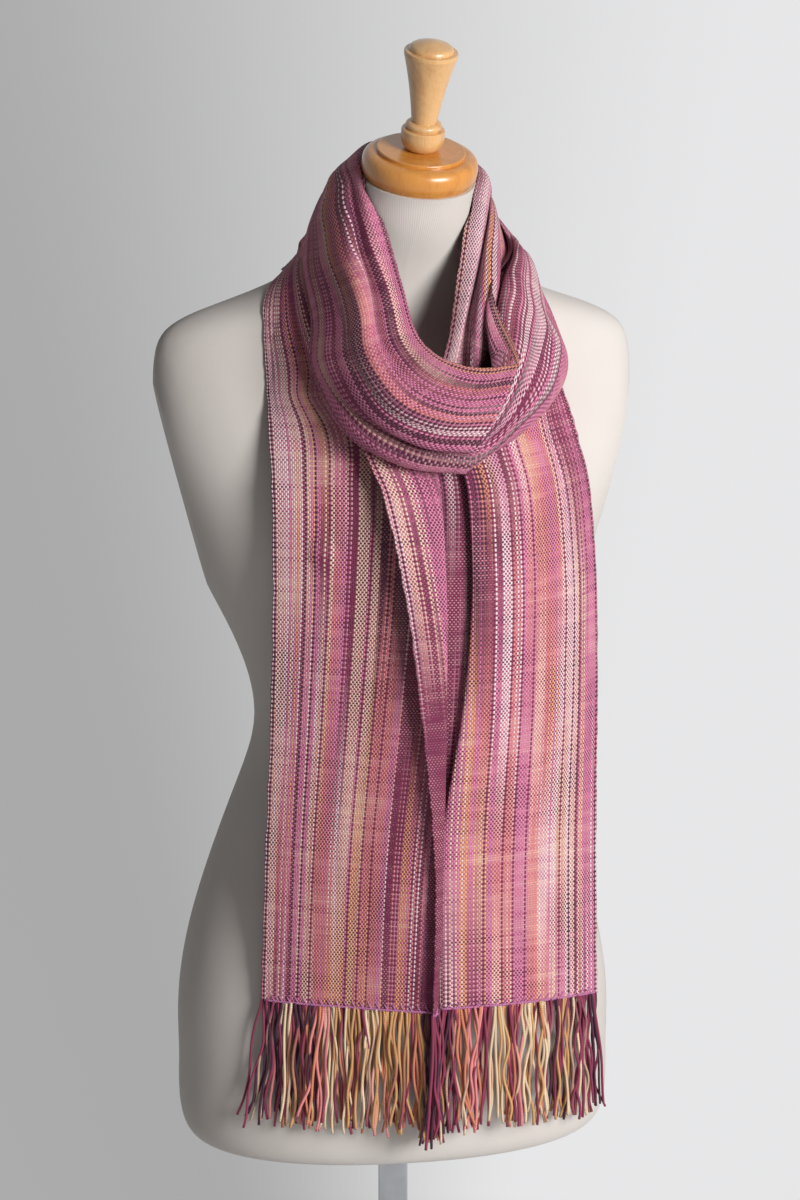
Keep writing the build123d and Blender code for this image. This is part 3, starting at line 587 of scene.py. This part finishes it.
def jersey_material():
    """Off-white knit with a fine fuzz, and ribs where it is stretched over the neck."""
    n = Nodes("jersey")
    place = n.add("ShaderNodeTexCoord").outputs["Object"]
    blotch = n.add("ShaderNodeTexNoise", {"Vector": place, "Scale": 9.0, "Detail": 3.0}).outputs[0]
    fuzz = n.add("ShaderNodeTexNoise", {"Vector": place, "Scale": 1400.0, "Detail": 2.0}).outputs[0]
    colour = n.ramp(blotch, [(0.3, (0.600, 0.560, 0.530)), (0.7, (0.640, 0.605, 0.580))])
    fuzzy = n.mix(n.math("MULTIPLY", fuzz, 0.10), colour, (0.5, 0.46, 0.42, 1))
    n.put(n.shader.inputs["Base Color"], fuzzy)
    n.shader.inputs["Roughness"].default_value = 0.9
    n.shader.inputs["Sheen Weight"].default_value = 0.25
    n.shader.inputs["Sheen Roughness"].default_value = 0.5
    split = n.add("ShaderNodeSeparateXYZ", {0: place})
    turned = n.math("ARCTAN2", split.outputs[0], n.math("ADD", split.outputs[1], 0.01))
    rib = n.math("SINE", n.math("MULTIPLY", turned, 260.0))
    by_neck = n.add("ShaderNodeMapRange", {0: split.outputs[2], 1: 1.44, 2: 1.50}).outputs[0]
    knit = n.math("ADD", n.math("MULTIPLY", rib, n.math("MULTIPLY", by_neck, 0.6)), fuzz)
    bump = n.add("ShaderNodeBump", {"Height": knit, "Distance": 0.0002, "Strength": 0.35})
    n.put(n.shader.inputs["Normal"], bump)
    return n.material


set_material(nodes["jersey_cover"], jersey_material())


def wood_material(name, dark, light, tilt=(0, 0, 0)):
    """Lacquered wood whose grain runs up, or along X when it is tilted."""
    n = Nodes(name)
    place = n.add("ShaderNodeTexCoord").outputs["Object"]
    mapped = n.add("ShaderNodeMapping", {"Vector": place, "Rotation": tilt, "Scale": (60, 60, 5)})
    grain = n.add(
        "ShaderNodeTexNoise", {"Vector": mapped, "Scale": 1.0, "Detail": 5.0, "Distortion": 0.6}
    ).outputs[0]
    fine = n.add("ShaderNodeTexNoise", {"Vector": mapped, "Scale": 9.0, "Detail": 3.0}).outputs[0]
    mixed = n.math("ADD", n.math("MULTIPLY", grain, 0.7), n.math("MULTIPLY", fine, 0.3))
    n.put(n.shader.inputs["Base Color"], n.ramp(mixed, [(0.3, dark), (0.52, light), (0.75, dark)]))
    n.shader.inputs["Roughness"].default_value = 0.32
    n.shader.inputs["Coat Weight"].default_value = 0.5
    n.shader.inputs["Coat Roughness"].default_value = 0.18
    bump = n.add("ShaderNodeBump", {"Height": mixed, "Distance": 0.0002, "Strength": 0.15})
    n.put(n.shader.inputs["Normal"], bump)
    return n.material


cap_wood = wood_material("cap_wood", (0.47, 0.165, 0.024), (0.63, 0.265, 0.046), (0, 1.45, 0))
finial_wood = wood_material("finial_wood", (0.50, 0.255, 0.095), (0.69, 0.41, 0.175))
set_material(nodes["neck_cap"], cap_wood)
for name in ("finial", "cap_dowels"):
    set_material(nodes[name], finial_wood)


def plain(name, colour, roughness, metallic=0.0, bumpiness=0.1, scale=600.0):
    """A moulded or metal finish with a slight grain."""
    n = Nodes(name)
    place = n.add("ShaderNodeTexCoord").outputs["Object"]
    grain = n.add("ShaderNodeTexNoise", {"Vector": place, "Scale": scale, "Detail": 3.0}).outputs[0]
    darker = tuple(c * 0.8 for c in colour)
    n.put(n.shader.inputs["Base Color"], n.ramp(grain, [(0.3, darker), (0.7, colour)]))
    n.shader.inputs["Roughness"].default_value = roughness
    n.shader.inputs["Metallic"].default_value = metallic
    bump = n.add("ShaderNodeBump", {"Height": grain, "Distance": 0.0001, "Strength": bumpiness})
    n.put(n.shader.inputs["Normal"], bump)
    return n.material


chrome = plain("chrome", (0.50, 0.51, 0.53), 0.07, 1.0, 0.01, 40.0)
steel = plain("steel", (0.55, 0.55, 0.56), 0.35, 1.0)
shell = plain("shell", (0.62, 0.58, 0.52), 0.6)
board = plain("board", (0.55, 0.40, 0.24), 0.7, 0.0, 0.3, 120.0)
black = plain("black", (0.022, 0.022, 0.024), 0.4)
rubber = plain("rubber", (0.03, 0.03, 0.031), 0.8)
finishes = {
    chrome: ["upper_pole", "lower_pole", "height_collar", "base_hub", "base_plate", "pole_socket"],
    steel: ["base_bolt", "socket_screws", "finial_stud"],
    shell: ["torso_front_shell", "torso_back_shell"],
    board: ["bottom_board", "neck_block"],
    black: ["collar_knob", "pole_glide", "pole_top_plug", "pole_bushing", "pole_plug"],
    rubber: ["foot_ring"],
}
for material, names in finishes.items():
    for name in names:
        set_material(nodes[name], material)


# ---------------------------------------------------------------- fringe
def tube(line, radius):
    """A round yarn along a line of points: its points, its faces and its UV places."""
    sides = YARN_SIDES
    ahead = np.gradient(line, axis=0)
    ahead /= np.linalg.norm(ahead, axis=1, keepdims=True)
    a = np.cross(ahead, (0.0, 1.0, 0.0))
    a /= np.linalg.norm(a, axis=1, keepdims=True)
    b = np.cross(ahead, a)
    turn = 2 * math.pi * np.arange(sides) / sides
    ring = a[:, None] * np.cos(turn)[None, :, None] + b[:, None] * np.sin(turn)[None, :, None]
    points = (line[:, None] + ring * radius).reshape(-1, 3)
    count = len(line)
    faces, places_uv = [], []
    run = chord(line) / 0.0036
    for i in range(count - 1):
        for k in range(sides):
            right = (k + 1) % sides
            faces.append((i * sides + k, i * sides + right, (i + 1) * sides + right, (i + 1) * sides + k))
            u, v = k / sides, (k + 1) / sides
            places_uv += [(u, run[i]), (v, run[i]), (v, run[i + 1]), (u, run[i + 1])]
    for ring_start, step in ((0, -1), ((count - 1) * sides, 1)):
        faces.append(tuple(ring_start + k for k in range(sides))[::step])
        places_uv += [(0.5, run[0 if ring_start == 0 else -1])] * sides
    return points, faces, places_uv


def make_fringe(name, hem, above, node, letters, seed, inner_drop, spread):
    """Loose yarns all along a hem and the slanted stitches that keep the hem together."""
    local = np.random.default_rng(seed)
    points, faces, spots, dyes = [], [], [], []

    def keep(made, first, last):
        new_points, new_faces, new_spots = made
        base = sum(len(p) for p in points)
        points.append(new_points)
        faces.extend(tuple(i + base for i in face) for face in new_faces)
        spots.extend(new_spots)
        rings = len(new_points) // YARN_SIDES - 1
        around = rings * YARN_SIDES
        for k, face in enumerate(new_faces):
            t = min(k // YARN_SIDES, rings) / rings if k < around else float(k > around)
            dyes.extend([tuple(first * (1 - t) + last * t) + (1.0,)] * len(face))

    leans = np.interp(np.arange(YARNS), *noise_line(YARNS, 6.0, seed + 5))
    t = np.linspace(0, 1, 25)
    for k in range(YARNS):
        u = (k + local.uniform(0.2, 0.8)) / YARNS
        place = hem[int(u * ENDS)]
        near = int(np.clip(u * len(letters) + local.choice([-1, 0, 0, 0, 1]), 0, len(letters) - 1))
        first = np.array(shades[letters[near]]) * local.uniform(0.85, 1.1)
        last = first
        if local.random() < 0.35:
            last = np.array(shades[local.choice(list("etynnry"))])
        drop = 0.104 + local.uniform(-0.006, 0.007) + inner_drop * max(0.0, 1 - u / 0.2)
        sway = leans[k] * 0.007 + local.normal(0, 0.0034) - spread * max(0.0, (u - 0.82) / 0.18)
        wave = local.uniform(0.0007, 0.0026)
        rate, phase = local.uniform(5, 13), local.uniform(0, 6.3)
        curl = local.normal(0, 0.0035) * np.maximum(t - 0.75, 0) * 4
        line = np.stack([
            place[0] + sway * t**1.4 + wave * (np.sin(rate * t + phase) - math.sin(phase)) + curl * 0.6,
            place[1] - 0.0005 - 0.004 * t + 0.7 * wave * np.sin(rate * t + 2 * phase)
            + local.normal(0, 0.0012) * t + 0.0011 * (k % 3) + 0.005 * t * (k % 2),
            place[2] + 0.0015 - drop * t + np.abs(curl) * 0.4,
        ], axis=1)
        keep(tube(line, local.uniform(0.00098, 0.00126)), first, last)
    pink = np.array([0.50, 0.17, 0.36])
    front = np.array([0.0, -0.0011, 0.0])
    keep(tube(hem[::3] + front + [0, 0, 0.0012], 0.0009), pink, pink)
    for k in range(2, ENDS - 5, 5):
        ends = np.linspace(hem[k], above[k + 3], 4) + front
        keep(tube(ends, 0.0006), pink * 1.15, pink)
    obj = new_object(name, np.concatenate(points), faces)
    obj.data.color_attributes.new("dye", "FLOAT_COLOR", "CORNER").data.foreach_set(
        "color", np.array(dyes).ravel()
    )
    obj.data.uv_layers.new(name="twist").data.foreach_set("uv", np.array(spots).ravel())
    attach(obj, "form")
    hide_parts(node)
    return obj


def yarn_material():
    """Twisted yarn: its dye, with painted shade in the grooves between the plies."""
    n = Nodes("yarn")
    dye = n.add("ShaderNodeVertexColor", layer_name="dye").outputs[0]
    split = n.add("ShaderNodeSeparateXYZ", {0: n.add("ShaderNodeUVMap", uv_map="twist")})
    turned = n.math("ADD", split.outputs[0], n.math("MULTIPLY", split.outputs[1], 0.9))
    ply = n.math("ABSOLUTE", n.math("SINE", n.math("MULTIPLY", turned, 2 * math.pi)))
    place = n.add("ShaderNodeTexCoord").outputs["Object"]
    fibre = n.add("ShaderNodeTexNoise", {"Vector": place, "Scale": 1500.0, "Detail": 2.0}).outputs[0]
    # Painted shade: the colour darkens in the grooves between the plies.
    shade = n.ramp(ply, [(0.0, (0.42, 0.36, 0.36)), (0.35, (0.88, 0.87, 0.86)), (1.0, (1.0, 1.0, 1.0))])
    n.put(n.shader.inputs["Base Color"], n.mix(1.0, dye, shade, "MULTIPLY"))
    n.shader.inputs["Roughness"].default_value = 0.75
    n.shader.inputs["Sheen Weight"].default_value = 0.08
    height = n.math("ADD", n.math("POWER", ply, 0.6), n.math("MULTIPLY", fibre, 0.3))
    bump = n.add("ShaderNodeBump", {"Height": height, "Distance": 0.0005, "Strength": 0.7})
    n.put(n.shader.inputs["Normal"], bump)
    return n.material


yarn = yarn_material()
# The dyes along each hem, listed from the fold to the outer edge.
left_yarns = "nppnnptenttnttetytynttyntyyrenpenpnynpnpn"
right_yarns = "tentnpnpnneenrennytenenrytneynpntnpynnpnpn"
left_fringe = make_fringe(
    "fringe_left", rows[0], rows[2], "left_fringe", left_yarns, 31, 0.010, 0.012
)
right_fringe = make_fringe(
    "fringe_right", rows[-1], rows[-3], "right_fringe", right_yarns, 32, 0.012, -0.006
)
for piece in (left_fringe, right_fringe):
    set_material(piece, yarn)


# ---------------------------------------------------------------- floor, light
def floor_and_world():
    """A pale floor that passes into a glowing background on all sides, with painted light and shade."""
    turn = [2 * math.pi * k / 64 for k in range(64)]
    points = [(30 * math.cos(a), 30 * math.sin(a), 0.0) for a in turn]
    obj = new_object("floor", points, [tuple(range(64))])
    n = Nodes("paper")
    n.shader.inputs["Roughness"].default_value = 0.95
    place = n.add("ShaderNodeTexCoord").outputs["Object"]
    split = n.add("ShaderNodeSeparateXYZ", {0: place})
    grain = n.add("ShaderNodeTexNoise", {"Vector": place, "Scale": 3.0, "Detail": 2.0}).outputs[0]
    paper = n.ramp(grain, [(0.3, (0.73, 0.73, 0.73)), (0.7, (0.76, 0.76, 0.76))])
    n.put(n.shader.inputs["Base Color"], paper)
    away = n.add("ShaderNodeVectorMath", {0: place}, operation="LENGTH").outputs["Value"]
    turned = n.math("ARCTAN2", split.outputs[0], split.outputs[1])
    part = n.add("ShaderNodeMapRange", {0: turned, 1: -math.pi, 2: math.pi}).outputs[0]
    # Painted light and shade on the glowing background: darkest straight behind the form and fading to its
    # left, brightest just right of behind, as a window on the right lights a wall; the chrome reflects it
    # as a painted reflection.
    shade = n.ramp(
        part,
        [
            (0.0, BACKDROP),
            (0.30, (0.68, 0.68, 0.68)),
            (0.50, (0.40, 0.40, 0.40)),
            (0.545, (0.80, 0.80, 0.81)),
            (0.70, (0.74, 0.74, 0.745)),
            (1.0, BACKDROP),
        ],
    )
    n.tree.nodes[-1].color_ramp.interpolation = "EASE"
    into_world = n.add("ShaderNodeMapRange", {0: away, 1: 18.0, 2: 29.0}).outputs[0]
    shade = n.mix(into_world, shade, (*BACKDROP, 1))
    glow = n.add("ShaderNodeEmission", {"Color": shade, "Strength": 1.0})
    ray = n.add("ShaderNodeLightPath")
    seen = n.math("MAXIMUM", ray.outputs["Is Camera Ray"], ray.outputs["Is Glossy Ray"])
    far = n.add("ShaderNodeMapRange", {0: away, 1: 0.6, 2: 1.5}).outputs[0]
    both = n.add("ShaderNodeMixShader", {0: n.math("MULTIPLY", far, seen), 1: n.shader, 2: glow})
    n.put(n.tree.nodes["Material Output"].inputs[0], both)
    set_material(obj, n.material)

    world = bpy.data.worlds.new("world")
    world.use_nodes = True
    tree = world.node_tree
    ambient = tree.nodes["Background"]
    ambient.inputs[0].default_value = (1.0, 0.965, 0.93, 1)
    ambient.inputs[1].default_value = 0.13
    pale = tree.nodes.new("ShaderNodeBackground")
    pale.inputs[0].default_value = (*BACKDROP, 1)
    ray = tree.nodes.new("ShaderNodeLightPath")
    seen = tree.nodes.new("ShaderNodeMath")
    seen.operation = "MAXIMUM"
    both = tree.nodes.new("ShaderNodeMixShader")
    tree.links.new(ray.outputs["Is Camera Ray"], seen.inputs[0])
    tree.links.new(ray.outputs["Is Glossy Ray"], seen.inputs[1])
    tree.links.new(seen.outputs[0], both.inputs[0])
    tree.links.new(ambient.outputs[0], both.inputs[1])
    tree.links.new(pale.outputs[0], both.inputs[2])
    tree.links.new(both.outputs[0], tree.nodes["World Output"].inputs[0])
    bpy.context.scene.world = world


floor_and_world()


def area_light(name, location, aim, size, power, colour):
    data = bpy.data.lights.new(name, "AREA")
    data.shape = "RECTANGLE"
    data.size, data.size_y = size
    data.energy = power
    data.color = colour
    obj = bpy.data.objects.new(name, data)
    obj.location = location
    obj.rotation_euler = (Vector(aim) - Vector(location)).to_track_quat("-Z", "Y").to_euler()
    bpy.context.scene.collection.objects.link(obj)


area_light("window", (1.65, -2.6, 2.2), (0, 0, 1.2), (1.3, 1.3), 125, (1.0, 0.985, 0.965))
bpy.context.scene.view_settings.view_transform = "Standard"
